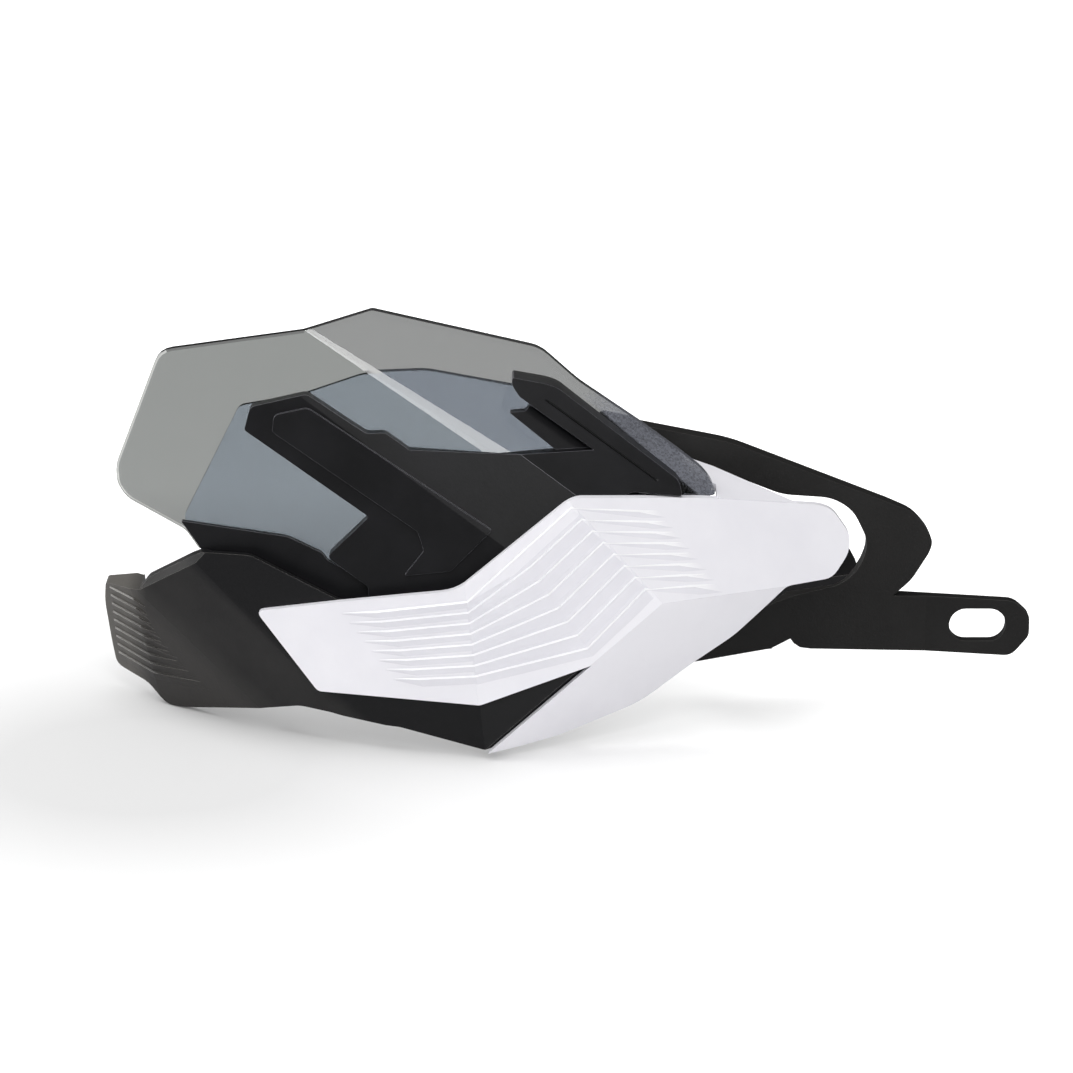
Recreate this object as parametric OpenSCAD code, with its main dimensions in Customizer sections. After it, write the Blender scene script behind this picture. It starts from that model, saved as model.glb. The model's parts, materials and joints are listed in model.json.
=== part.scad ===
// Motorcycle hand guard for the rider's right hand.
// A faceted black core carries a stepped white shield, a smoked two-layer
// deflector and a hooped bracket whose slotted arm bolts to the lever clamp.
// Millimetres. +X points inboard to the arm, +Y to the rider, +Z up.
// The origin is the centre of the slot, on the front face of the arm.

/* [Core shell] */
// Wall of the black core
core_wall = 3; // [2:0.2:4]
// Depth of the stiffening ribs behind the core
rib_depth = 7; // [4:0.5:10]
// Thickness of those ribs
rib_wall = 2.2; // [1.5:0.1:3]
// Height of the ridges on the outer end
ridge_height = 1.1; // [0.5:0.1:1.6]

/* [Front shield] */
// Wall of the white shield
shield_wall = 2.8; // [2:0.1:3.6]
// Clearance between the shield and the core
shield_gap = 0.3; // [0.1:0.05:0.6]
// Height of each moulded step
step_height = 1; // [0.5:0.1:1.5]
// Width of the ledge above each step
step_ledge = 0.7; // [0.4:0.1:1.2]

/* [Deflector] */
// Depth of the deck that holds the two screens
deck_depth = 5.8; // [4.5:0.1:7]
// How far the panel on the left arm stands proud
panel_height = 1.3; // [0.4:0.1:1.8]
// How far the collar lies behind the deck's face
collar_step = 3.2; // [2:0.1:4]
// Thickness of the outer screen
outer_thick = 3; // [2:0.1:3.5]
// Thickness of the inner screen
inner_thick = 2.5; // [2:0.1:3.5]
// Clearance between the deck and the screens
sheet_gap = 0.2; // [0.1:0.05:0.4]

/* [Bracket] */
// Plate of the hoop and of the arm
plate_thick = 5; // [4:0.5:6.5]
// Depth of the wall that runs round the hoop
rim_depth = 8; // [7:0.5:13]
// From the hoop's bend to the centre of the slot
arm_length = 20; // [17:0.5:24]
// Length of the slot, end to end
slot_length = 21.8; // [18:0.2:25]
// Width of the slot
slot_width = 12.8; // [10:0.2:15]

/* [Fasteners] */
// Thread of the small screws
screw_d = 4; // [3:0.5:5]
// Head of the small screws
screw_head_d = 7.6; // [6:0.2:9]
// Height of the small heads
screw_head_h = 2.6; // [2:0.2:3.5]
// Washer under the small heads
washer_d = 11; // [9.6:0.2:13]
// Thickness of that washer
washer_thick = 1; // [0.6:0.1:1.6]
// Post that a small screw enters
post_d = 7.6; // [6.6:0.2:8.6]
// Post of the core that a deck screw enters
core_post_d = 10; // [8:0.5:12]
// Thread of the bracket bolts
bolt_d = 6; // [5:0.5:7]
// Head of the bracket bolts
bolt_head_d = 10; // [9:0.2:12]
// Height of the bracket bolt heads
bolt_head_h = 5; // [3:0.2:6]
// Washer under the bracket bolts
bolt_washer_d = 14; // [12.4:0.2:16]
// Thickness of that washer
bolt_washer_thick = 1.4; // [1:0.1:2]
// Threaded brass insert in the core's bracket posts
insert_d = 9; // [8.2:0.2:10.2]
// Length of that insert
insert_length = 12; // [8:0.5:15]
// Post that holds the insert
bracket_post_d = 15; // [13:0.5:18]
// Clearance round threads and between seated faces
fit_gap = 0.1; // [0.05:0.05:0.2]

/* [Hidden] */
$fn = 40;
reach = 400;   // larger than the whole guard
embed = 0.3;   // how far joined shapes run into each other

black = [0.17, 0.17, 0.18];
white = [0.92, 0.91, 0.94];
smoke = [0.52, 0.52, 0.50, 0.6];
steel = [0.35, 0.35, 0.36];
brass = [0.72, 0.58, 0.30];

// The lowest front point of the guard is the zero of the layout below.
// The slot's centre lies here in it.
slot_at = [188, 86, 21.2];

// Facets. Each is a plane: its turn about Z, its lean and a point on it.
// A positive turn faces inboard and a positive lean faces the ground.
end_facet = [-50, 17.5, [-133, 52.4, 45.2]];
wrap_facet = [-36, 18, [-129.7, 50, 45.1]];
side_facet = [-28, 9, [-97.2, 31.6, 51.5]];
left_facet = [-16, -4, [0, 0, 0]];
front_facet = [0, -6, [0, 0, 0]];
upper_facet = [29, -28, [29.5, 9.7, 92]];
lobe_facet = [28, 24, [0, 0, 0]];
core_facets = [end_facet, wrap_facet, side_facet, left_facet, front_facet, upper_facet, lobe_facet];
shield_facets = [left_facet, front_facet, upper_facet, lobe_facet];

bevel_facet = [-51.5, -29.9, [-119.1, 43, 53]];      // lit rim above the side facets
flange_facet = [54.8, -72.6, [78.6, 29.5, 87.3]];     // return behind the shield's top edge

deck_left = [-12, -6, [-1.8, 18, 78.7]];
deck_mid = [-6.3, -14.3, [-1.8, 18, 78.7]];
deck_right = [16.5, -39.2, [32, 17.8, 92.4]];
deck_facets = [deck_left, deck_mid, deck_right];

sheet_right = [22.3, -46.9, [3.5, 22.7, 111.8]];      // inboard side of both screens
sheet_facets = [deck_left, sheet_right];

bend_x = slot_at[0] - arm_length;   // the arm starts here and squares up to the clamp
hoop_facet = [11.3, 0, [bend_x, slot_at[1], 0]];

// Outlines, seen from the front: x, z and the radius of the corner.
core_outline = [
    [-125, 0.4, 3], [-121.3, -3.3, 3], [-115, -2.9, 3], [-68.7, 9.2, 2],
    [-57, 8.6, 1], [-36.8, 5.9, 1], [-31.3, 5.7, 1], [0, 0, 1],
    [16, 3.5, 1], [29, 6.5, 1], [55, 15, 1], [73, 28, 1], [89, 38, 1],
    [104.9, 45.7, 1], [111.3, 50.4, 2], [130.8, 50, 3], [138.2, 56.6, 1], [134.6, 63, 1],
    [126, 73, 3], [118, 76.5, 2],
    [76, 84, 2], [34, 88, 4], [28, 88, 3], [2, 58.5, 2], [-5, 56, 2],
    [-52.8, 51, 2], [-86.5, 65.4, 2], [-104.2, 65.1, 2], [-108.1, 62.9, 1],
    [-125.7, 51.2, 1], [-129.4, 46.4, 0.4], [-143.8, 44.2, 1], [-144.9, 35.6, 6], [-143.4, 17.4, 3],
    [-142.1, 7, 3], [-128.8, 4.1, 3]
];
shield_outline = [
    [-61.6, 17.5, 1.5], [-1.6, 17.6, 1], [38.9, 32.3, 0.6], [1, -0.4, 0.5],
    [14.6, 0.9, 3], [27.4, 2.8, 4], [57, 11.8, 6], [75.4, 25.2, 6],
    [91.8, 35.6, 4], [105, 48.2, 2], [111, 54.2, 2], [128.4, 54.4, 3],
    [134.8, 61.6, 3], [135.6, 67.6, 5], [129, 76.7, 4], [124, 79, 4],
    [78.6, 87.3, 4], [33.6, 93.1, 5], [29.6, 92.3, 3], [-10.8, 59.3, 5],
    [-54, 51.6, 8], [-84.4, 45.6, 3]
];
deck_outline = [
    [-42, 34, 2], [-16, 36, 2], [0, 42, 2], [32, 63, 4], [32, 87, 3],
    [46, 89.2, 2], [54, 91.3, 1], [72, 88.8, 1], [71, 93.7, 2],
    [26.7, 125.1, 2], [22.6, 126.6, 2], [9.8, 129.4, 1], [9.8, 127.1, 1],
    [12.5, 123.3, 1], [39.8, 105.1, 0.5], [-27.7, 105.9, 0.5],
    [-31.1, 108.3, 1], [-36.6, 111.7, 1], [-43, 111.2, 1], [-47.1, 113.5, 2],
    [-64.7, 124.3, 2], [-66.5, 124.3, 2], [-86.2, 118.9, 2],
    [-88.5, 110.3, 1], [-42.5, 80.8, 1], [-58.2, 65.1, 2], [-43, 55, 1]
];
panel_outline = [
    [-78, 110.5, 1], [-24.5, 76.7, 1], [-22.3, 69.8, 1], [-29.7, 60.1, 1],
    [-12.4, 63, 1], [2.6, 78.7, 1], [-64.7, 120, 2], [-77.3, 116.7, 2]
];
collar_outline = [
    [-100, 56, 1], [-60, 47, 1], [-37, 44, 1], [-36.9, 53, 0.5],
    [-58, 62.8, 1], [-60.2, 65.6, 1], [-72.8, 70.8, 2], [-103.9, 73.5, 1],
    [-113, 74.4, 1], [-105.3, 64.2, 1]
];
web_outline = [[8.7, 117.8, 1], [14.9, 117.7, 1], [16.4, 119.6, 1], [44, 102.5, 1], [34, 101, 1], [25.4, 105.4, 2]];
outer_outline = [
    [-106.5, 63.8, 1], [-62, 58.5, 2], [-42, 61, 2], [-8, 80, 4], [20, 91, 4],
    [50, 90.6, 4], [70, 87.2, 2], [76, 86.3, 1], [84.7, 86.7, 1], [83.2, 90.8, 3], [79.9, 94.5, 3],
    [72, 100.1, 2], [57, 110, 2], [34.2, 124.1, 3], [26.4, 130.2, 3], [20.1, 135.1, 4],
    [-41.9, 151, 1], [-120.5, 136.7, 5], [-137.6, 93.1, 3], [-137, 86.3, 2],
    [-133.6, 81.3, 3], [-111.4, 70.4, 2]
];
inner_outline = [
    [-106, 64.6, 1], [-62, 60, 2], [-42, 62, 2], [-8, 81.4, 4], [20, 92.5, 4],
    [50, 92, 3], [70, 89.4, 2], [66, 94.8, 3], [22, 118.8, 3], [10.9, 122.8, 2], [-22.1, 130.2, 3],
    [-44, 131.2, 3], [-51.4, 128.3, 2], [-68.2, 121.9, 2], [-90.6, 117, 2],
    [-112, 74.6, 2]
];
bracket_outline = [
    [50, 26, 3], [66, 11, 3], [78.3, 11.9, 2], [107.6, 15.4, 2], [125.2, 14.3, 4],
    [168, 10.8, 3], [201.2, 8.8, 3], [207.9, 16.8, 2], [207.8, 25.2, 2],
    [201.8, 30.8, 3], [177.6, 32.3, 2], [155, 33.6, 0.6], [162.2, 39.6, 3],
    [168.9, 50.2, 4], [170, 54.4, 4], [167.4, 60.2, 4], [161.8, 66.6, 6], [126, 82.4, 4], [91.4, 97.6, 6],
    [57.3, 106, 3], [41.6, 110.2, 3], [40, 67, 3], [84, 67, 3],
    [84.1, 88.6, 3], [111.3, 76.2, 4], [130.8, 73.8, 5], [138.9, 68.4, 5],
    [145.4, 54.8, 6], [141.8, 45.2, 4], [134.8, 39.2, 4], [117.1, 36.1, 3],
    [107.9, 33.1, 2], [94, 28.5, 3], [78, 50, 3], [50, 50, 3]
];
block_x = -129.4;   // the rim starts here, beside the closed end block
lid_outline = [[-150, 56], [-150, 41], [-129, 43.2], [-129, 56]];
lid_plan = [[-150, 30], [-126, 30], [-126, 64], [-132.4, 72.8], [-150, 77.1]];
pocket_outlines = [
    [[43, 69.5, 2], [81, 69.5, 2], [81, 92, 2], [88, 96.4, 2], [57, 103.6, 2], [44, 106.8, 2]],
    [
        [53, 28, 2], [67, 14.4, 2], [78, 15, 1], [104, 18.2, 2], [112, 21.8, 2],
        [120, 20.6, 2], [127, 17.4, 2], [160, 14.6, 2], [160, 29.6, 2], [150, 30.6, 2], [118, 33, 2],
        [109, 30, 2], [93, 25.3, 2], [76.4, 47, 2], [53, 47, 2]
    ],
    [
        [148.2, 55.4, 2], [144.8, 46, 2], [153, 38.4, 2], [159.6, 41, 3],
        [166, 50.6, 4], [159.6, 64, 4], [148.5, 69, 2], [142, 70, 2]
    ]
];
// Relief under the limb where the arm starts
notch_outline = [[109, 10], [124, 10], [124, 14.3], [119.4, 15.2], [116.9, 17], [115.6, 18.9], [108.5, 15.6]];
slim_x = bend_x - 16;   // the hoop slims from its full depth between here and the bend

// Steps. Each line runs fade, full height, lower bend, elbow, upper bend,
// full height, fade.
step_count = 8;
step_low = [55.6, 24.4];            // lower bends, first and last height
step_high = [90, 56.1];             // upper bends, first and last height
step_fade = [[-56, 46.6], [-33.5, 20.8]];
step_left = [[-40, 49], [-22, 22]];
step_elbow = [[12.7, 73.1], [40.8, 33.6]];
step_right = [[56, 85.8], [79, 55.2]];
step_end = [[65.4, 84.8], [90, 54.6]];

// Ridges on the outer end. Each line runs edge, kink, fade.
ridge_count = 9;
ridge_edge = [[-142.2, 42.9], [-140.6, 9.4]];
ridge_kink = [41.4, 6.2];
ridge_fade = [[-126, 38.4], [-96, 7.4]];

rib_at = [-84, -46, -6, 22];
rib_top = 32;
rib_margin = 2;   // from the core's edge to the ribs

// Return behind the shield's top edge, seen from above
flange_plan = [[86.4, 33.6], [115.5, 46.4], [84.6, 60], [72, 63], [78, 47], [85, 44.8], [85, 34.6]];

// Screws: x and z where each axis meets its facet
shield_screw_at = [
    [left_facet, -66, 34], [left_facet, -20, 27], [upper_facet, 84, 75],
    [upper_facet, 116, 67], [lobe_facet, 34, 15], [lobe_facet, 88, 46]
];
deck_screw_at = [[deck_left, -34, 42], [deck_left, -10, 46], [deck_left, 12, 57]];
screen_screw_at = [
    [deck_left, -72, 108], [deck_left, -36, 86], [deck_left, 0, 92], [sheet_right, 55, 98.6]
];
bracket_bolt_at = [[hoop_facet, 52, 77], [hoop_facet, 62.3, 38]];

// Stack of the deflector, measured back from the deck's face
outer_front = deck_depth + sheet_gap;
outer_back = outer_front + outer_thick;
inner_front = outer_back + sheet_gap;
inner_back = inner_front + inner_thick;

screw_grip = 8;      // thread inside a post of the deck
deck_grip = 4;       // thread inside a post of the core
bolt_grip = 10;
hole_gap = 0.6;      // round a post where it passes through a sheet
hex_share = 0.5;     // driver socket across the head
hex_floor = 0.4;     // share of the head left under that socket
bolt_gap = 0.2;      // round the bolts where they pass through the bracket

// Front normal of a facet
function normal(f) = [cos(f[1]) * sin(f[0]), -cos(f[1]) * cos(f[0]), -sin(f[1])];

// y of a facet at x, z, set back by a distance
function facet_y(f, x, z, back) =
    let (n = normal(f), p = f[2])
    p[1] + (back + n[0] * (x - p[0]) + n[2] * (z - p[2])) / -n[1];

// y of a shell's front at x, z
function surface_y(facets, x, z, back) = max([for (f = facets) facet_y(f, x, z, back)]);

// x where two facets cross at height z
function crease_x(f, g, z) =
    let (
        a = facet_y(f, 0, z, 0) - facet_y(g, 0, z, 0),
        b = facet_y(f, 1, z, 0) - facet_y(g, 1, z, 0)
    )
    a / (a - b);

function mix(pair, t) = pair[0] + (pair[1] - pair[0]) * t;

function unit(v) = v / norm(v);

// Outline with each corner turned into a short curve
function rounded(points) =
    let (count = len(points), arc_steps = 4)
    [
        for (i = [0:count - 1])
        let (
            here = [points[i][0], points[i][1]],
            before = points[(i + count - 1) % count],
            after = points[(i + 1) % count],
            u = [before[0], before[1]] - here,
            v = [after[0], after[1]] - here,
            r = min(points[i][2], 0.45 * norm(u), 0.45 * norm(v)),
            a = here + r * unit(u),
            b = here + r * unit(v)
        )
        for (k = [0:arc_steps])
        let (t = k / arc_steps)
        (1 - t) * (1 - t) * a + 2 * t * (1 - t) * here + t * t * b
    ];

// Outline moved inwards; its points run anticlockwise
function inset(points, d) =
    let (count = len(points))
    [
        for (i = [0:count - 1])
        let (
            here = [points[i][0], points[i][1]],
            before = points[(i + count - 1) % count],
            after = points[(i + 1) % count],
            u = unit(here - [before[0], before[1]]),
            v = unit([after[0], after[1]] - here),
            nu = [-u[1], u[0]],
            nv = [-v[1], v[0]],
            moved = here + d * (nu + nv) / (1 + nu * nv)
        )
        [moved[0], moved[1], max(points[i][2] - d, 0.4)]
    ];

// Prism of an outline, running from front to back
module cut(points) {
    translate([0, reach / 2, 0])
        rotate([90, 0, 0])
            linear_extrude(height = reach) polygon(points);
}

// Everything behind a facet
module behind(f, back = 0) {
    translate(f[2])
        rotate([f[1], 0, f[0]])
            translate([-reach, back, -reach]) cube([2 * reach, reach, 2 * reach]);
}

// Everything behind all of the facets
module hull_of(facets, back = 0) {
    intersection_for (f = facets) behind(f, back);
}

// Puts children at x, z on a facet, with +Y running back along its normal
module on_facet(f, x, z) {
    translate([x, facet_y(f, x, z, 0), z]) rotate([f[1], 0, f[0]]) children();
}

// Cylinder that runs back from y0 to y1
module rod(d, y0, y1, sides = 40) {
    translate([0, y0, 0]) rotate([-90, 0, 0]) cylinder(h = y1 - y0, d = d, $fn = sides);
}

// Pan-head screw or bolt whose head seats at y = 0, with its shank to the front
module screw(d, length, head_d, head_h) {
    difference() {
        union() {
            rod(d, -length, embed);
            rod(head_d, 0, head_h);
        }
        rod(head_d * hex_share, head_h * hex_floor, head_h + embed, 6);
    }
}

module washer(outer_d, inner_d, thick) {
    difference() {
        rod(outer_d, 0, thick);
        rod(inner_d, -embed, thick + embed);
    }
}

// Saw-tooth relief on a faceted surface, as one closed solid.
// Each line is a ridge; behind it the face falls to the next line, and a
// ledge stands above it. The last line only ends the relief.
module relief(facets, back, lines, heights, ledge) {
    root = embed + 1;
    stations = len(lines[0]);
    rows = 2 * len(lines) - 1;
    front = [
        for (i = [0:stations - 1], r = [0:rows - 1])
        let (
            p = lines[floor(r / 2)][i],
            z = r % 2 == 0 && r < rows - 1 ? p[1] + ledge : p[1],
            out = r % 2 == 0 ? -embed : heights[i]
        )
        [p[0], surface_y(facets, p[0], z, back) - out, z]
    ];
    rear = [
        for (p = front)
        [p[0], surface_y(facets, p[0], p[2], back) + root, p[2]]
    ];
    far = stations * rows;
    sheets = [
        for (i = [0:stations - 2], r = [0:rows - 2])
        let (a = i * rows + r, b = a + rows, c = b + 1, d = a + 1)
        each [
            [a, b, c], [a, c, d],
            [a + far, c + far, b + far], [a + far, d + far, c + far]
        ]
    ];
    rims = [
        for (i = [0:stations - 2])
        let (a = i * rows, b = a + rows, c = b + rows - 1, d = b - 1)
        each [
            [a + far, b + far, b], [a + far, b, a],
            [d, c, c + far], [d, c + far, d + far]
        ]
    ];
    ends = [
        for (r = [0:rows - 2])
        let (a = r, b = a + 1, c = (stations - 1) * rows + r, d = c + 1)
        each [
            [a + far, a, b], [a + far, b, b + far],
            [c, c + far, d + far], [c, d + far, d]
        ]
    ];
    polyhedron(points = concat(front, rear), faces = concat(sheets, rims, ends));
}

function step_line(k) =
    let (t = k / step_count, low = mix(step_low, t), high = mix(step_high, t))
    [
        mix(step_fade, t),
        mix(step_left, t),
        [crease_x(left_facet, front_facet, low), low],
        mix(step_elbow, t),
        [crease_x(front_facet, upper_facet, high), high],
        mix(step_right, t),
        mix(step_end, t)
    ];

function ridge_line(k) =
    let (t = k / ridge_count, kink = mix(ridge_kink, t), fade = mix(ridge_fade, t))
    [
        mix(ridge_edge, t),
        [crease_x(end_facet, wrap_facet, kink), kink],
        [mix([ridge_fade[0][0], ridge_fade[1][0]], t * t), fade[1]]
    ];

module end_ridges() {
    intersection() {
        relief(
            core_facets, 0, [for (k = [0:ridge_count]) ridge_line(k)],
            [ridge_height, ridge_height, -embed], step_ledge
        );
        cut(rounded(core_outline));
    }
}

// Solid behind the core's front, with the lit rim planed off the outer side
module core_blank(back) {
    difference() {
        hull_of(core_facets, back);
        intersection() {
            translate(bevel_facet[2])
                rotate([bevel_facet[1], 0, bevel_facet[0]])
                    translate([-reach, back - reach, -reach]) cube([2 * reach, reach, 2 * reach]);
            translate([block_x, -reach / 2, 0]) cube([reach, reach, reach]);
        }
    }
}

// Lid that closes the outer end from above
module end_lid() {
    intersection() {
        cut(lid_outline);
        linear_extrude(height = reach) polygon(lid_plan);
    }
}

// Skin of the core behind its facets, with the closed outer end
module core_skin() {
    intersection() {
        difference() {
            core_blank(0);
            difference() {
                core_blank(core_wall);
                end_lid();
            }
        }
        cut(rounded(core_outline));
    }
}

// Ribs that stiffen the core from behind, below the deflector
module core_ribs() {
    for (x = rib_at)
        intersection() {
            core_blank(core_wall / 2);
            difference() {
                cut(rounded(inset(core_outline, rib_margin)));
                core_blank(core_wall + rib_depth);
            }
            translate([x - rib_wall / 2, -reach / 2, rib_top - reach]) cube([rib_wall, reach, reach]);
        }
}

module core_posts() {
    for (s = deck_screw_at)
        intersection() {
            core_blank(core_wall / 2);
            on_facet(s[0], s[1], s[2]) rod(core_post_d, -reach, -fit_gap);
        }
    for (s = bracket_bolt_at)
        intersection() {
            core_blank(core_wall / 2);
            on_facet(s[0], s[1], s[2]) rod(bracket_post_d, -reach, -fit_gap);
        }
}

module core_shell() {
    color(black)
        difference() {
            union() {
                core_skin();
                end_ridges();
                core_ribs();
                core_posts();
            }
            for (s = shield_screw_at)
                on_facet(s[0], s[1], s[2]) rod(post_d + hole_gap, -shield_wall, core_wall + rib_depth + embed);
            for (s = deck_screw_at)
                on_facet(s[0], s[1], s[2]) rod(screw_d + 2 * fit_gap, -deck_grip - fit_gap, embed);
            for (s = bracket_bolt_at)
                on_facet(s[0], s[1], s[2]) rod(insert_d + 2 * fit_gap, -insert_length - fit_gap, embed);
        }
}

module shield_steps() {
    intersection() {
        relief(
            shield_facets, -shield_gap - shield_wall, [for (k = [0:step_count]) step_line(k)],
            [-embed, step_height, step_height, step_height, step_height, step_height, -embed], step_ledge
        );
        cut(rounded(shield_outline));
    }
}

// Return that runs back from the top edge towards the hoop
module shield_flange() {
    intersection() {
        difference() {
            behind(flange_facet, 0);
            behind(flange_facet, shield_wall);
        }
        translate([0, 0, -reach / 2])
            linear_extrude(height = reach)
                polygon(flange_plan);
    }
}

module front_shield() {
    color(white)
        difference() {
            union() {
                intersection() {
                    difference() {
                        hull_of(shield_facets, -shield_gap - shield_wall);
                        hull_of(shield_facets, -shield_gap);
                    }
                    cut(rounded(shield_outline));
                }
                shield_steps();
                shield_flange();
                for (s = shield_screw_at)
                    on_facet(s[0], s[1], s[2]) rod(post_d, -shield_gap - embed, core_wall - fit_gap);
            }
            for (s = shield_screw_at)
                on_facet(s[0], s[1], s[2])
                    rod(screw_d + 2 * fit_gap, -shield_gap - shield_wall / 2, core_wall + embed);
        }
}

module shield_screws() {
    color(steel)
        for (s = shield_screw_at)
            on_facet(s[0], s[1], s[2])
                translate([0, core_wall + washer_thick, 0])
                    screw(screw_d, core_wall + washer_thick + shield_gap, screw_head_d, screw_head_h);
}

module shield_washers() {
    color(steel)
        for (s = shield_screw_at)
            on_facet(s[0], s[1], s[2])
                translate([0, core_wall, 0]) washer(washer_d, screw_d + 2 * fit_gap, washer_thick);
}

module deflector_deck() {
    color(black)
        difference() {
            union() {
                intersection() {
                    difference() {
                        hull_of(deck_facets, 0);
                        hull_of(sheet_facets, deck_depth);
                    }
                    cut(rounded(deck_outline));
                }
                intersection() {
                    difference() {
                        hull_of(deck_facets, -panel_height);
                        hull_of(deck_facets, embed);
                    }
                    cut(rounded(panel_outline));
                }
                for (outline = [collar_outline, web_outline])
                    intersection() {
                        difference() {
                            hull_of(deck_facets, collar_step);
                            hull_of(sheet_facets, deck_depth);
                        }
                        cut(rounded(outline));
                    }
                for (s = screen_screw_at)
                    on_facet(s[0], s[1], s[2]) rod(post_d, deck_depth / 2, inner_back);
            }
            for (s = screen_screw_at)
                on_facet(s[0], s[1], s[2]) rod(screw_d + 2 * fit_gap, inner_back - screw_grip, inner_back + embed);
            for (s = deck_screw_at)
                on_facet(s[0], s[1], s[2]) rod(screw_d + 2 * fit_gap, -embed, deck_depth + embed);
        }
}

module screen_holes() {
    for (s = screen_screw_at)
        on_facet(s[0], s[1], s[2]) rod(post_d + hole_gap, 0, inner_back + embed);
}

module windscreen_outer() {
    color(smoke)
        difference() {
            intersection() {
                difference() {
                    hull_of(sheet_facets, outer_front);
                    hull_of(sheet_facets, outer_back);
                }
                cut(rounded(outer_outline));
            }
            screen_holes();
        }
}

module windscreen_inner() {
    color(smoke)
        difference() {
            intersection() {
                difference() {
                    hull_of(sheet_facets, inner_front);
                    hull_of(sheet_facets, inner_back);
                }
                cut(rounded(inner_outline));
            }
            screen_holes();
        }
}

module screen_screws() {
    color(steel)
        for (s = screen_screw_at)
            on_facet(s[0], s[1], s[2])
                translate([0, inner_back + washer_thick, 0])
                    screw(screw_d, screw_grip, screw_head_d, screw_head_h);
}

module screen_washers() {
    color(steel)
        for (s = screen_screw_at)
            on_facet(s[0], s[1], s[2])
                translate([0, inner_back, 0]) washer(washer_d, screw_d + 2 * fit_gap, washer_thick);
}

module deck_screws() {
    color(steel)
        for (s = deck_screw_at)
            on_facet(s[0], s[1], s[2])
                translate([0, deck_depth + washer_thick, 0])
                    screw(screw_d, deck_depth + washer_thick + deck_grip, screw_head_d, screw_head_h);
}

module deck_washers() {
    color(steel)
        for (s = deck_screw_at)
            on_facet(s[0], s[1], s[2])
                translate([0, deck_depth, 0]) washer(washer_d, screw_d + 2 * fit_gap, washer_thick);
}

// Stadium slot through the arm
module arm_slot() {
    span = slot_length - slot_width;
    translate([slot_at[0], slot_at[1], slot_at[2]]) {
        for (side = [-1, 1])
            translate([side * span / 2, 0, 0]) rod(slot_width, -embed, plate_thick + embed);
        translate([-span / 2, -embed, -slot_width / 2]) cube([span, plate_thick + 2 * embed, slot_width]);
    }
}

// Bracket before its outline is cut: the hoop leans back from the bend, slims
// down towards it, and the arm beyond is a flat plate
module bracket_bar() {
    y = slot_at[1];
    fall = tan(hoop_facet[0]) * bend_x;
    depth = rim_depth / cos(hoop_facet[0]);
    translate([0, 0, -reach / 2])
        linear_extrude(height = reach)
            polygon([
                [0, y - fall], [bend_x, y], [reach, y], [reach, y + plate_thick],
                [bend_x, y + plate_thick], [slim_x, y - fall * (1 - slim_x / bend_x) + depth],
                [0, y - fall + depth]
            ]);
}

// Pockets that leave a stiffening wall round the back of the hoop
module bracket_pockets() {
    intersection() {
        behind(hoop_facet, plate_thick);
        for (pocket = pocket_outlines) cut(rounded(pocket));
    }
}

module support_bracket() {
    color(black)
        difference() {
            intersection() {
                bracket_bar();
                cut(rounded(bracket_outline));
            }
            bracket_pockets();
            cut(notch_outline);
            arm_slot();
            for (s = bracket_bolt_at)
                on_facet(s[0], s[1], s[2]) rod(bolt_d + 2 * bolt_gap, -embed, plate_thick + embed);
        }
}

module bracket_bolts() {
    color(steel)
        for (s = bracket_bolt_at)
            on_facet(s[0], s[1], s[2])
                translate([0, plate_thick + bolt_washer_thick, 0])
                    screw(bolt_d, plate_thick + bolt_washer_thick + bolt_grip, bolt_head_d, bolt_head_h);
}

module bracket_washers() {
    color(steel)
        for (s = bracket_bolt_at)
            on_facet(s[0], s[1], s[2])
                translate([0, plate_thick, 0])
                    washer(bolt_washer_d, bolt_d + 2 * bolt_gap, bolt_washer_thick);
}

module bracket_inserts() {
    color(brass)
        for (s = bracket_bolt_at)
            on_facet(s[0], s[1], s[2])
                translate([0, -insert_length, 0])
                    washer(insert_d, bolt_d + 2 * fit_gap, insert_length - fit_gap);
}

module placed() {
    translate(-slot_at) children();
}

placed() core_shell();
placed() front_shield();
placed() support_bracket();
placed() deflector_deck();
placed() windscreen_outer();
placed() windscreen_inner();
placed() shield_screws();
placed() shield_washers();
placed() deck_screws();
placed() deck_washers();
placed() screen_screws();
placed() screen_washers();
placed() bracket_bolts();
placed() bracket_washers();
placed() bracket_inserts();
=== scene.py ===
# Motorcycle hand guard: soft moulded edges, finishes, light and camera.
import json
import math

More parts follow.
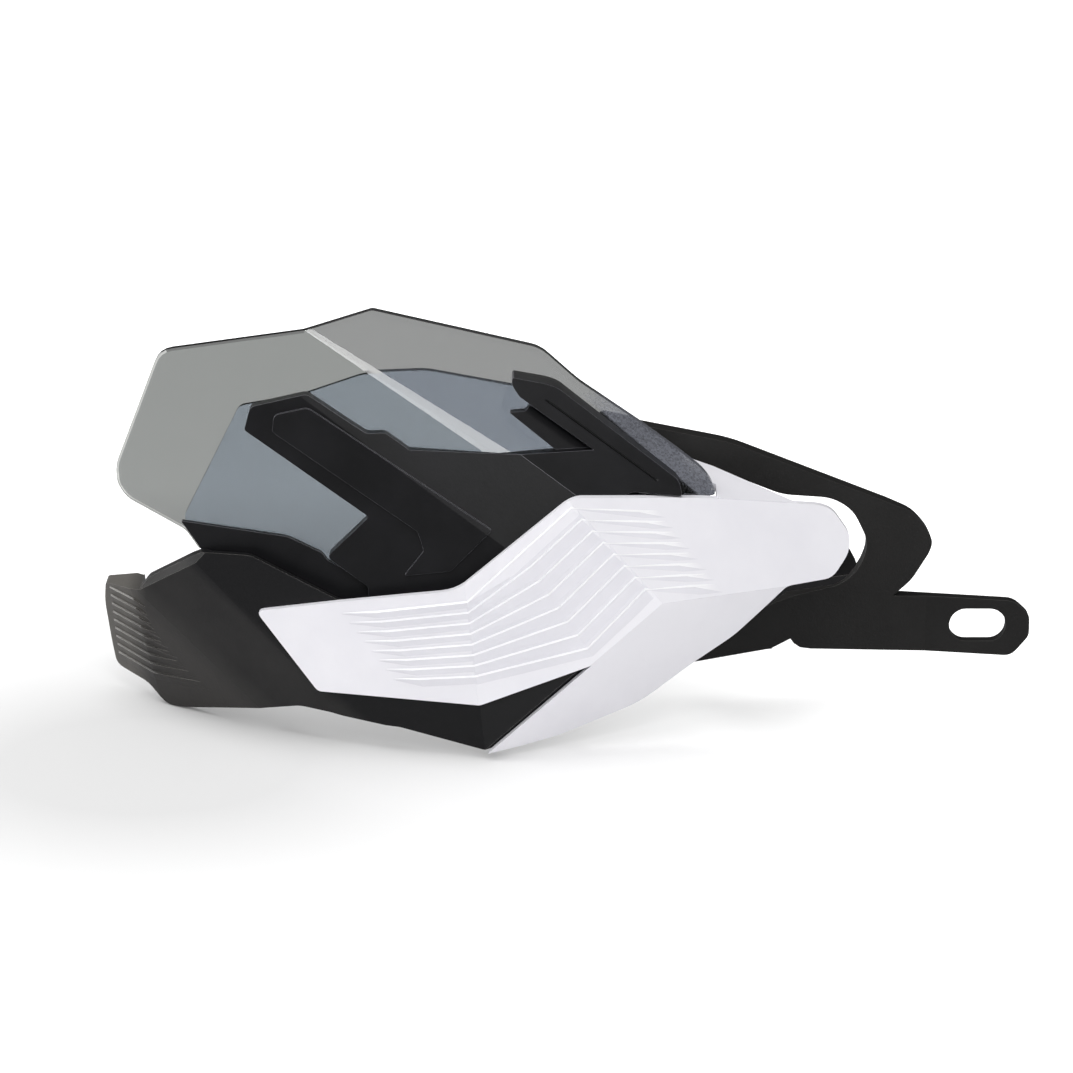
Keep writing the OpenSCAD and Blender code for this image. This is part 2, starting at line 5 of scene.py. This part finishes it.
import bmesh
import bpy
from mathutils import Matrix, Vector


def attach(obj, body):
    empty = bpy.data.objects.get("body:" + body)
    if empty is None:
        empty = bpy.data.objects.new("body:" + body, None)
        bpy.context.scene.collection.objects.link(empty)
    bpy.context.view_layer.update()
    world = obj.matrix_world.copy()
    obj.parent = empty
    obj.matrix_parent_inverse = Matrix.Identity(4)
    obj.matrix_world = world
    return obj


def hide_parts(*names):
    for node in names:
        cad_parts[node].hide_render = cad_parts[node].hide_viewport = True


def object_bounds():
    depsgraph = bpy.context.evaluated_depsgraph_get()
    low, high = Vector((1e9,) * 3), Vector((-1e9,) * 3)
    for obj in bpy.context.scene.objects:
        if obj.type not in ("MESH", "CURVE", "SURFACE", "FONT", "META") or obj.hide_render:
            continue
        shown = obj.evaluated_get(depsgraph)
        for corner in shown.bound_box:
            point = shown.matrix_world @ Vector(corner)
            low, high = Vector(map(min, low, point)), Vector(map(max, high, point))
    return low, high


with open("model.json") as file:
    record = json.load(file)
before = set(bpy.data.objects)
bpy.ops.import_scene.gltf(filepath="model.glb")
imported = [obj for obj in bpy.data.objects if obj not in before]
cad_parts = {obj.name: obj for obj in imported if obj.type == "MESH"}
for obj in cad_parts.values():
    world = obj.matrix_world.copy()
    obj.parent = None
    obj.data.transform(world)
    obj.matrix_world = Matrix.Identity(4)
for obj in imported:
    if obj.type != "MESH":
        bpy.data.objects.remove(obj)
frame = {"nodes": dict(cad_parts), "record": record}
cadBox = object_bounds()
mm = 0.001
middle = (-0.17, -0.03, 0.04)  # what the lamps aim at


def shade(red, green, blue):  # a colour picked on screen, 0 to 255, as linear light
    def linear(c):
        c /= 255
        return c / 12.92 if c <= 0.04045 else ((c + 0.055) / 1.055) ** 2.4
    return (linear(red), linear(green), linear(blue), 1.0)


# Shader building

class Wire:  # a node's output, so that sums on it read as sums
    def __init__(self, sheet, socket):
        self.sheet = sheet
        self.socket = socket

    def __add__(self, other):
        return self.sheet.maths("ADD", self, other)

    __radd__ = __add__

    def __sub__(self, other):
        return self.sheet.maths("SUBTRACT", self, other)

    def __rsub__(self, other):
        return self.sheet.maths("SUBTRACT", other, self)

    def __mul__(self, other):
        return self.sheet.maths("MULTIPLY", self, other)

    __rmul__ = __mul__

    def __abs__(self):
        return self.sheet.maths("ABSOLUTE", self)


class Sheet:  # the nodes of one material, or of the world
    def __init__(self, owner):
        self.owner = owner
        owner.use_nodes = True
        self.tree = owner.node_tree
        self.tree.nodes.clear()

    def node(self, kind, settings=None, values=None, out=0):
        made = self.tree.nodes.new(kind)
        for name, value in (settings or {}).items():
            if name == "stops":
                ramp = made.color_ramp
                while len(ramp.elements) < len(value):
                    ramp.elements.new(0.5)
                for element, (place, colour) in zip(ramp.elements, value):
                    element.position = place
                    element.color = colour
            else:
                setattr(made, name, value)
        for name, value in (values or {}).items():
            if isinstance(value, Wire):
                self.tree.links.new(value.socket, made.inputs[name])
            else:
                made.inputs[name].default_value = value
        return Wire(self, made.outputs[out])

    def maths(self, operation, first, second=0.0):
        return self.node("ShaderNodeMath", {"operation": operation}, {0: first, 1: second})

    def spot(self):
        return self.node("ShaderNodeTexCoord", out="Object")

    def place(self, turn=(0, 0, 0), stretch=(1, 1, 1)):
        return self.node(
            "ShaderNodeMapping", {},
            {"Vector": self.spot(), "Rotation": turn, "Scale": stretch})

    def noise(self, where, scale, detail, rough):
        return self.node(
            "ShaderNodeTexNoise", {},
            {"Vector": where, "Scale": scale, "Detail": detail, "Roughness": rough}, "Fac")

    def mark(self, layer):  # a number kept on the mesh's faces or corners
        return self.node("ShaderNodeAttribute", {"attribute_name": layer}, out="Fac")

    def span(self, value, low, high, newLow=0.0, newHigh=1.0):
        return self.node("ShaderNodeMapRange", {}, {
            "Value": value, "From Min": low, "From Max": high,
            "To Min": newLow, "To Max": newHigh})

    def beyond(self, line):  # metres past a line: negative on the side its arrow points away from
        along = self.node(
            "ShaderNodeVectorMath", {"operation": "DOT_PRODUCT"},
            {0: self.spot(), 1: line["arrow"]}, "Value")
        return along - line["start"] * mm

    def past(self, line):  # rises from 0 over the line's fade
        low, high = line["fade"]
        return self.span(self.beyond(line), low * mm, high * mm)

    def blend(self, share, first, second, mode="MIX"):
        return self.node(
            "ShaderNodeMix", {"data_type": "RGBA", "blend_type": mode},
            {0: share, 6: first, 7: second}, 2)

    def ramp(self, stops, value):
        return self.node("ShaderNodeValToRGB", {"stops": stops}, {"Fac": value})

    def bump(self, height, strength, distance, before=None):
        values = {"Height": height, "Strength": strength, "Distance": distance}
        if before:
            values["Normal"] = before
        return self.node("ShaderNodeBump", {}, values)

    def finish(self, shader, kind="ShaderNodeOutputMaterial"):
        end = self.tree.nodes.new(kind)
        self.tree.links.new(shader.socket, end.inputs["Surface"])
        return self.owner


# Moulded plastics. A line is an arrow and how far along it, in mm, a tone starts.

mouldSkin = {  # noises are scale, detail and roughness
    "cloud": (22.0, 4.0, 0.6), "worn": (0.38, 0.72), "cloudRough": 0.10,
    "scuff": (60.0, 5.0, 0.7), "scuffTurn": (0.2, 0.5, 0.3), "scuffStretch": (1, 9, 1),
    "scuffRough": 0.12,
    "fine": (900.0, 2.0, 0.5), "pits": (2600.0, 1.0, 0.4), "pitShare": 0.5, "depth": 0.2}
corePlastic = {
    "colour": shade(30, 29, 29), "dusty": shade(42, 41, 40), "rough": 0.42, "grain": 0.22,
    # edge is a painted highlight along the rolled edges
    "shine": 0.5, "edge": shade(160, 157, 152), "paintedEdgeShare": 0.7,
    # Painted light and painted shade: tones laid on the core's facets for how light falls on them
    "litAndShadedZones": [
        {"tone": shade(62, 60, 58), "share": 0.7,  # painted light: the left facets past the first crease, lit from the left
         "arrow": (-0.507, 0.406, -0.760), "start": 127.9, "fade": (-7, 7)},
        {"tone": shade(12, 12, 14), "share": 1.0,  # painted shade: the upper right past the second crease, above the white shield
         "arrow": (0.491, -0.400, 0.774), "start": -98.0, "fade": (-0.5, 3.5)},
        {"tone": shade(112, 109, 104), "share": 0.6,  # painted light: the outer end of the ridged block, lit from the left
         "arrow": (-1, 0, 0), "start": 315, "fade": (0, 9)}]}
deckPlastic = {
    "colour": shade(17, 17, 19), "dusty": shade(27, 27, 30), "rough": 0.36, "grain": 0.10,
    # edge is a painted highlight along the rolled edges
    "shine": 0.36, "edge": shade(140, 140, 147), "paintedEdgeShare": 0.75,
    "groove": {
        "across": {"arrow": (-0.548, -0.630, -0.550), "start": 64.5},
        "along": {"arrow": (0.807, -0.226, -0.546), "start": -178.5},
        "half": 0.55, "floor": 0.11, "length": 51, "end": 1, "depth": 0.6,
        # tone is painted shade in the groove
        "tone": shade(6, 6, 6)}}
bracketPlastic = {
    "colour": shade(23, 22, 21), "dusty": shade(32, 31, 30), "rough": 0.48, "grain": 0.28,
    # edge is a painted highlight along the rolled edges
    "shine": 0.4, "edge": shade(70, 69, 67), "paintedEdgeShare": 0.4}
whitePlastic = {
    "colour": shade(255, 255, 255), "dusty": shade(248, 248, 249), "rough": 0.34, "grain": 0.06,
    # edge is painted shade along the shield's rolled edges, which draws the step lines
    "shine": 0.5, "edge": shade(190, 190, 200), "paintedEdgeShare": 0.6,
    # painted highlight on the step shelves, painted shade on their slopes, the shield's own white
    # in between
    "stepLightAndShade": [
        (0.0, shade(226, 225, 231)), (0.5, shade(235, 234, 239)), (1.0, shade(252, 252, 254))]}


def grooveShape(s, groove):  # 1 along the groove, 0 beside it and past its ends
    away = abs(s.beyond(groove["across"]))
    travelled = s.beyond(groove["along"])
    length, end = groove["length"], groove["end"]
    ends = s.span(travelled, 0.0, end * mm) * s.span(travelled, length * mm, (length - end) * mm)
    return ends * s.span(away, groove["half"] * mm, groove["floor"] * mm)


def mouldedPlastic(name, look):
    s = Sheet(bpy.data.materials.new(name))
    here = s.place()
    cloud = s.noise(here, *mouldSkin["cloud"])
    fine = s.noise(here, *mouldSkin["fine"])
    pits = s.noise(here, *mouldSkin["pits"])
    scuff = s.noise(
        s.place(mouldSkin["scuffTurn"], mouldSkin["scuffStretch"]), *mouldSkin["scuff"])
    colour = s.blend(s.span(cloud, *mouldSkin["worn"]), look["colour"], look["dusty"])
    # Painted light and painted shade on the core's facets
    for zone in look.get("litAndShadedZones", []):
        colour = s.blend(zone["share"] * s.past(zone), colour, zone["tone"])
    if "stepLightAndShade" in look:
        # Painted highlight on the step shelves and painted shade on their slopes
        colour = s.blend(1.0, colour, s.ramp(look["stepLightAndShade"], s.mark("stepTone")), "MULTIPLY")
    # Painted highlight along the rolled edges of the black plastics, painted shade along those of
    # the white shield
    colour = s.blend(s.mark("rolledEdge") * look["paintedEdgeShare"], colour, look["edge"])
    skin = s.bump(fine + mouldSkin["pitShare"] * pits, look["grain"], mouldSkin["depth"] * mm)
    if "groove" in look:
        deep = grooveShape(s, look["groove"])
        skin = s.bump(1.0 - deep, 1.0, look["groove"]["depth"] * mm, skin)
        # Painted shade in the groove
        colour = s.blend(deep, colour, look["groove"]["tone"])
    rough = look["rough"] + mouldSkin["cloudRough"] * (cloud - 0.5)
    return s.finish(s.node("ShaderNodeBsdfPrincipled", {}, {
        "Base Color": colour, "Roughness": rough + mouldSkin["scuffRough"] * (scuff - 0.5),
        "Normal": skin, "Specular IOR Level": look["shine"]}))


# Smoked sheets

smokeMark = {  # how dark a face looks: tint is the sheet's own smoke, steep is a tone painted for how light falls on the right facet, line and edge are painted shade along the rims, clear is a painted highlight on the left rims; a steep face is one that leans and turns at once
    "clear": 0.0, "tint": 0.25, "steep": 0.45, "line": 0.8, "edge": 1.0}
smokeSkin = {  # noises are scale, detail and roughness
    "haze": (30.0, 3.0, 0.5), "hazeRough": 0.03, "bend": 1.49,
    "ripple": (14.0, 2.0, 0.4), "rippleStretch": (1, 1, 3), "rippleShare": 0.04, "depth": 1.0}
# steep, edge and clear are painted: a tone for how light falls on the right facet, painted shade
# on the rims, a painted highlight on the left rims
outerSmoke = {
    "clear": shade(236, 236, 232), "tint": shade(134, 136, 134), "steep": shade(136, 137, 136),
    "edge": shade(24, 24, 24), "rough": 0.03,
    "dust": {
        "tone": shade(150, 153, 164), "rough": 0.5, "share": (0.30, 0.48), "haze": (0.3, 0.7),
        "specks": (1100.0, 3.0, 0.6), "speckSpan": (0.35, 0.6, 0.6, 1.1), "ragged": 20,
        "side": {"arrow": (0.618, 0.689, 0.377), "start": -78.8, "fade": (0, 0.8)},
        "top": {"arrow": (0.743, -0.352, -0.569), "start": -158.5}, "topFade": 14}}
# steep, edge and clear are painted: a tone for how light falls on the right facet, painted shade
# on the rims, a painted highlight on the left rims
innerSmoke = {
    "clear": shade(240, 244, 250), "tint": shade(230, 240, 254), "steep": shade(222, 232, 248),
    "edge": shade(120, 126, 136), "rough": 0.04}


def dustShare(s, dust, haze, specks):  # the strip of dust along the outer sheet's right edge
    cover = s.span(haze, *dust["haze"], *dust["share"])
    ragged = s.beyond(dust["top"]) + dust["ragged"] * mm * (specks - 0.5)
    reach = s.span(ragged, 0.0, dust["topFade"] * mm)
    return cover * reach * s.past(dust["side"]) * s.span(specks, *dust["speckSpan"])


def smokedSheet(name, look):
    s = Sheet(bpy.data.materials.new(name))
    here = s.place()
    haze = s.noise(here, *smokeSkin["haze"])
    ripple = s.noise(s.place(stretch=smokeSkin["rippleStretch"]), *smokeSkin["ripple"])
    # The ramp gives the smoke tint plus painted shade and painted highlights on the steep facet
    # and rims
    stops = [(smokeMark[part], look[part]) for part in ("clear", "tint", "steep", "edge")]
    shader = s.node("ShaderNodeBsdfPrincipled", {}, {
        "Base Color": s.ramp(stops, s.mark("smokeDepth")),
        "Transmission Weight": 1.0, "IOR": smokeSkin["bend"],
        "Roughness": look["rough"] + smokeSkin["hazeRough"] * haze,
        "Normal": s.bump(ripple, smokeSkin["rippleShare"], smokeSkin["depth"] * mm)})
    if "dust" in look:
        dust = look["dust"]
        share = dustShare(s, dust, haze, s.noise(here, *dust["specks"]))
        powder = s.node(
            "ShaderNodeBsdfPrincipled", {},
            {"Base Color": dust["tone"], "Roughness": dust["rough"]})
        shader = s.node("ShaderNodeMixShader", {}, {0: share, 1: shader, 2: powder})
    return s.finish(shader)


# Metal

turnedSkin = {  # noises are scale, detail and roughness
    "wear": (260.0, 4.0, 0.6), "worn": (0.4, 0.7), "wornTone": 0.6, "wornRough": 0.15,
    "marks": (700.0, 2.0, 0.5), "markStretch": (1, 12, 1), "markShare": 0.12, "depth": 0.1}


def turnedMetal(name, colour, rough):
    s = Sheet(bpy.data.materials.new(name))
    wear = s.noise(s.place(), *turnedSkin["wear"])
    marks = s.noise(s.place(stretch=turnedSkin["markStretch"]), *turnedSkin["marks"])
    dull = tuple(turnedSkin["wornTone"] * c for c in colour[:3]) + (1,)
    return s.finish(s.node("ShaderNodeBsdfPrincipled", {}, {
        "Base Color": s.blend(s.span(wear, *turnedSkin["worn"]), colour, dull),
        "Metallic": 1.0, "Roughness": rough + turnedSkin["wornRough"] * (wear - 0.5),
        "Normal": s.bump(marks, turnedSkin["markShare"], turnedSkin["depth"] * mm)}))


print("finishes")
finishes = {
    "core_black": mouldedPlastic("core black", corePlastic),
    "shield_white": mouldedPlastic("shield white", whitePlastic),
    "bracket_black": mouldedPlastic("bracket black", bracketPlastic),
    "deck_black": mouldedPlastic("deck black", deckPlastic),
    "smoke_outer": smokedSheet("smoke outer", outerSmoke),
    "smoke_inner": smokedSheet("smoke inner", innerSmoke),
    "screw_steel": turnedMetal("blackened steel", shade(70, 70, 72), 0.38),
    "washer_steel": turnedMetal("zinc", shade(150, 152, 155), 0.34),
    "bolt_steel": turnedMetal("dark zinc", shade(82, 82, 84), 0.36),
    "insert_brass": turnedMetal("brass", shade(190, 152, 84), 0.32),
}


# Mouldings: each is a copy of its solid with its sharp edges rolled over

edgeRolls = {  # radius in mm and smallest corner, in degrees, that is rolled
    "core_shell": (0.65, 24),
    "front_shield": (0.35, 12),
    "support_bracket": (0.8, 30),
    "deflector_deck": (0.75, 24),
    "windscreen_outer": (1.3, 60),
    "windscreen_inner": (0.6, 60),
}
cleaning = {"join": 0.004, "flat": 0.8, "cut": 0.001}  # mm, except flat, which is in degrees
rollRows = 2
screenBend = {"lower": 1.6, "upper": 0.45, "shortest": 40, "corner": (35, 65)}
paintedRimLine = {"width": 0.9, "frontArea": 1500, "facing": -0.3, "clearSide": -0.3}
smokeFaces = {  # which faces of a screen count as what: areas in mm2, the rest are cosines
    "broadCount": 4, "sameBroad": 0.9, "onBroad": 0.97, "nearBroad": 0.85, "onBand": 0.98,
    "bandArea": 30, "steep": 0.08, "clearSide": -0.4}
stepFaces = {  # areas in mm2, the rest are a normal's y and z
    "smallArea": 150, "sliver": 5, "plainArea": 1000, "front": -0.2,
    "shelfUp": 0.5, "shelfFront": -0.72, "slopeFront": -0.85}


def area(face):  # in mm2
    return face.calc_area() / (mm * mm)


def planeOffBend(shape):  # flattens the outer screen's bend into a band that widens downwards
    low, high = (math.radians(angle) for angle in screenBend["corner"])
    for edge in shape.edges:
        if len(edge.link_faces) != 2 or edge.calc_length() < screenBend["shortest"] * mm:
            continue
        if not low < edge.calc_face_angle_signed(0) < high:
            continue
        lower, upper = sorted((v.co.copy() for v in edge.verts), key=lambda spot: spot.z)
        first, second = (f.normal.copy() for f in edge.link_faces)
        outwards = (first + second).normalized()
        lower -= outwards * screenBend["lower"] * mm
        upper -= outwards * screenBend["upper"] * mm
        facing = (upper - lower).cross(first - second).normalized()
        if facing.dot(outwards) < 0:
            facing.negate()
        cut = bmesh.ops.bisect_plane(
            shape, geom=shape.verts[:] + shape.edges[:] + shape.faces[:],
            dist=cleaning["cut"] * mm, plane_co=lower, plane_no=facing, clear_outer=True)
        rim = [e for e in cut["geom_cut"] if isinstance(e, bmesh.types.BMEdge)]
        bmesh.ops.edgenet_fill(shape, edges=rim)
        return


def paintedRimLines(shape, rolled):  # a painted line just inside the left face: clear, a painted highlight, at its left side, else dark, painted shade
    fronts = [
        f for f in shape.faces
        if f.normal.y < paintedRimLine["facing"] and f.normal.x < 0 and area(f) > paintedRimLine["frontArea"]]
    before = set(shape.faces)
    bmesh.ops.inset_individual(
        shape, faces=fronts, thickness=paintedRimLine["width"] * mm, use_even_offset=True)
    paintedRimFaces = {}
    for face in set(shape.faces) - before:
        border = [e for e in face.edges if any(f in rolled for f in e.link_faces)]
        if border:
            start, end = (v.co for v in border[0].verts)
            away = (start + end) / 2 - face.calc_center_median()
            clear = away.x < paintedRimLine["clearSide"] * away.length
            paintedRimFaces[face] = smokeMark["clear" if clear else "line"]
    return paintedRimFaces


def smokeTintAndPaintedLights(shape, paintedRimFaces):  # how dark each face of a screen is: its own smoke on the broad faces, painted tones on the steep facet and the rims
    largest = sorted(shape.faces, key=area)[-smokeFaces["broadCount"]:]
    broad = [f.normal.copy() for f in largest]
    between = [
        (a + b).normalized() for a in broad for b in broad
        if 0 < a.dot(b) < smokeFaces["sameBroad"]]
    faceTones = []
    for face in shape.faces:
        across = face.normal
        nearest = max(abs(across.dot(n)) for n in broad)
        banded = area(face) > smokeFaces["bandArea"] and any(
            abs(across.dot(n)) > smokeFaces["onBand"] for n in between)
        if face in paintedRimFaces:
            faceTones.append(paintedRimFaces[face])
        elif nearest > smokeFaces["onBroad"]:
            # The steep right facet gets a tone painted for how light falls on it
            steep = abs(across.x * across.z) > smokeFaces["steep"]
            faceTones.append(smokeMark["steep" if steep else "tint"])
        elif banded:
            faceTones.append(smokeMark["tint"])
        else:
            # Rims: a painted highlight on those facing left, painted shade on the rest
            clear = nearest > smokeFaces["nearBroad"] and across.x < smokeFaces["clearSide"]
            faceTones.append(smokeMark["clear" if clear else "edge"])
    return faceTones


def paintedStepLights(shape):  # 1 on the shelves of the shield's steps, for a painted highlight, 0 on their slopes, for painted shade, 0.5 elsewhere
    tones = []
    for face in shape.faces:
        across = face.normal
        small = area(face) < stepFaces["smallArea"] and across.y < stepFaces["front"]
        shelf = small and across.z > stepFaces["shelfUp"] and across.y > stepFaces["shelfFront"]
        slope = small and across.y < stepFaces["slopeFront"] and area(face) > stepFaces["sliver"]
        tone = 1.0 if shelf else 0.0 if slope else 0.5
        for corner in face.loops:
            plain = any(area(f) > stepFaces["plainArea"] for f in corner.vert.link_faces)
            tones.append(0.5 if plain else tone)
    return tones


def keepLayer(mesh, name, domain, values):
    mesh.attributes.new(name, "FLOAT", domain).data.foreach_set("value", values)


def softened(node, radius, corner, slot):
    mesh = frame["nodes"][node].data.copy()
    shape = bmesh.new()
    shape.from_mesh(mesh)
    bmesh.ops.remove_doubles(shape, verts=shape.verts, dist=cleaning["join"] * mm)
    bmesh.ops.dissolve_limit(
        shape, angle_limit=math.radians(cleaning["flat"]), verts=shape.verts, edges=shape.edges)
    if node == "windscreen_outer":
        planeOffBend(shape)
    sharp = [
        e for e in shape.edges
        if len(e.link_faces) == 2 and e.calc_face_angle(0) > math.radians(corner)]
    bevel = bmesh.ops.bevel(
        shape, geom=sharp, offset=radius * mm, offset_type="OFFSET", affect="EDGES",
        segments=rollRows, profile=0.5, material=-1, clamp_overlap=True)
    rolled = {f for f in bevel["faces"] if f.is_valid}
    shape.normal_update()
    for face in shape.faces:
        face.smooth = face in rolled
    # Painted highlight and painted shade lines along the outer screen's left face
    paintedRimFaces = paintedRimLines(shape, rolled) if node == "windscreen_outer" else {}
    layers = []
    if "windscreen" in node:
        layers.append(("smokeDepth", "FACE", smokeTintAndPaintedLights(shape, paintedRimFaces)))
    else:
        layers.append(("rolledEdge", "FACE", [float(f in rolled) for f in shape.faces]))
    if node == "front_shield":
        layers.append(("stepTone", "CORNER", paintedStepLights(shape)))
    shape.to_mesh(mesh)
    shape.free()
    for name, domain, values in layers:
        keepLayer(mesh, name, domain, values)
    mesh.materials.clear()
    mesh.materials.append(finishes[slot])
    piece = bpy.data.objects.new(node + "_moulding", mesh)
    bpy.context.collection.objects.link(piece)
    level = piece.modifiers.new("even shading", "WEIGHTED_NORMAL")
    level.keep_sharp = True
    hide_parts(node)
    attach(piece, "root")
    return piece


slots = {entry["node"]: entry["material_slot"] for entry in frame["record"]["subparts"]}
print("mouldings")
for node, (radius, corner) in edgeRolls.items():
    piece = softened(node, radius, corner, slots[node])
    print("  ", node, len(piece.data.polygons), "faces")

print("fasteners")
for node, thing in frame["nodes"].items():
    if node not in edgeRolls:
        for spot in thing.material_slots:
            spot.material = finishes[slots[node]]


# Floor, light and camera

# The floor's glow is weak near a spot in front of the guard's outer end and full far off: a
# painted shadow on the floor there
floorLook = {
    "drop": 0.3, "span": 30.0, "rough": 0.9, "seen": (0.64, 0.64, 0.64, 1),
    "bounce": (0.88, 0.88, 0.88, 1), "inGloss": (0.30, 0.30, 0.31, 1),
    "glow": (0.05, 1.0), "glowReach": (0.06, 0.38), "paintedShadowCentre": (-0.31, -0.09, 0)}
skyLook = {"colour": (1.0, 1.0, 1.0, 1), "light": 0.30, "inGloss": 0.06}
lamps = {  # place, width, height and watts
    "top": ((-0.4, -0.25, 1.4), 1.3, 1.0, 8.5),
    "left": ((-1.3, 0.45, 1.0), 0.8, 0.8, 14),
    "front": ((-0.1, -1.7, 0.9), 1.2, 0.8, 8.5),
    "crest": ((-0.1, -1.6, 1.4), 0.5, 0.4, 5.5),
    "low right": ((0.8, -1.3, 0.25), 0.8, 0.4, 2.2),
}
view = {"tilt": 16.0, "lens": 137.9, "sensor": 36.0, "point": (-0.1692, -1.5064, 0.4672)}
black, white = (0, 0, 0, 1), (1, 1, 1, 1)


def paleFloor():
    s = Sheet(bpy.data.materials.new("floor"))
    seen = s.node("ShaderNodeLightPath", out="Is Camera Ray") + s.node(
        "ShaderNodeLightPath", out="Is Transmission Ray")
    gloss = s.node("ShaderNodeLightPath", out="Is Glossy Ray")
    # Painted shadow: the floor's glow dims towards the spot in front of the guard's outer end
    far = s.node(
        "ShaderNodeVectorMath", {"operation": "DISTANCE"},
        {0: s.place(), 1: floorLook["paintedShadowCentre"]}, "Value")
    glow = s.span(far, *floorLook["glowReach"], *floorLook["glow"])
    colour = s.blend(seen, floorLook["bounce"], floorLook["seen"])
    shader = s.node("ShaderNodeBsdfPrincipled", {}, {
        "Base Color": s.blend(gloss, colour, floorLook["inGloss"]),
        "Roughness": floorLook["rough"], "Specular IOR Level": 0.0,
        "Emission Color": s.blend(glow * seen, black, white), "Emission Strength": 1.0})
    shape = bmesh.new()
    bmesh.ops.create_grid(shape, x_segments=1, y_segments=1, size=floorLook["span"] / 2)
    bmesh.ops.translate(
        shape, verts=shape.verts, vec=(0, 0, cadBox[0][2] - floorLook["drop"] * mm))
    mesh = bpy.data.meshes.new("floor")
    shape.to_mesh(mesh)
    shape.free()
    mesh.materials.append(s.finish(shader))
    floor = bpy.data.objects.new("floor", mesh)
    bpy.context.collection.objects.link(floor)


def skyLight():
    world = bpy.data.worlds.new("studio")
    bpy.context.scene.world = world
    s = Sheet(world)
    seen = s.node("ShaderNodeLightPath", out="Is Camera Ray")
    through = s.node("ShaderNodeLightPath", out="Is Transmission Ray")
    gloss = s.node("ShaderNodeLightPath", out="Is Glossy Ray")
    dimmed = s.span(gloss, 0.0, 1.0, skyLook["light"], skyLook["inGloss"])
    level = s.maths("MAXIMUM", dimmed, s.maths("MAXIMUM", seen, through))
    sky = s.node("ShaderNodeBackground", {}, {"Color": skyLook["colour"], "Strength": level})
    s.finish(sky, "ShaderNodeOutputWorld")


def softBox(name, place, width, height, power):
    lamp = bpy.data.lights.new(name, "AREA")
    lamp.shape = "RECTANGLE"
    lamp.size = width
    lamp.size_y = height
    lamp.energy = power
    holder = bpy.data.objects.new(name, lamp)
    holder.location = place
    aim = Vector(middle) - Vector(place)
    holder.rotation_euler = aim.to_track_quat("-Z", "Y").to_euler()
    bpy.context.collection.objects.link(holder)


def photoCamera():
    lens = bpy.data.cameras.new("photo view")
    lens.lens = view["lens"]
    lens.sensor_width = view["sensor"]
    lens.clip_end = 100
    camera = bpy.data.objects.new("photo view", lens)
    camera.location = view["point"]
    camera.rotation_euler = (math.radians(90 - view["tilt"]), 0, 0)
    bpy.context.collection.objects.link(camera)
    bpy.context.scene.camera = camera


print("studio")
paleFloor()
skyLight()
for name, lamp in lamps.items():
    softBox(name, *lamp)
photoCamera()
bpy.context.scene.view_settings.view_transform = "Standard"
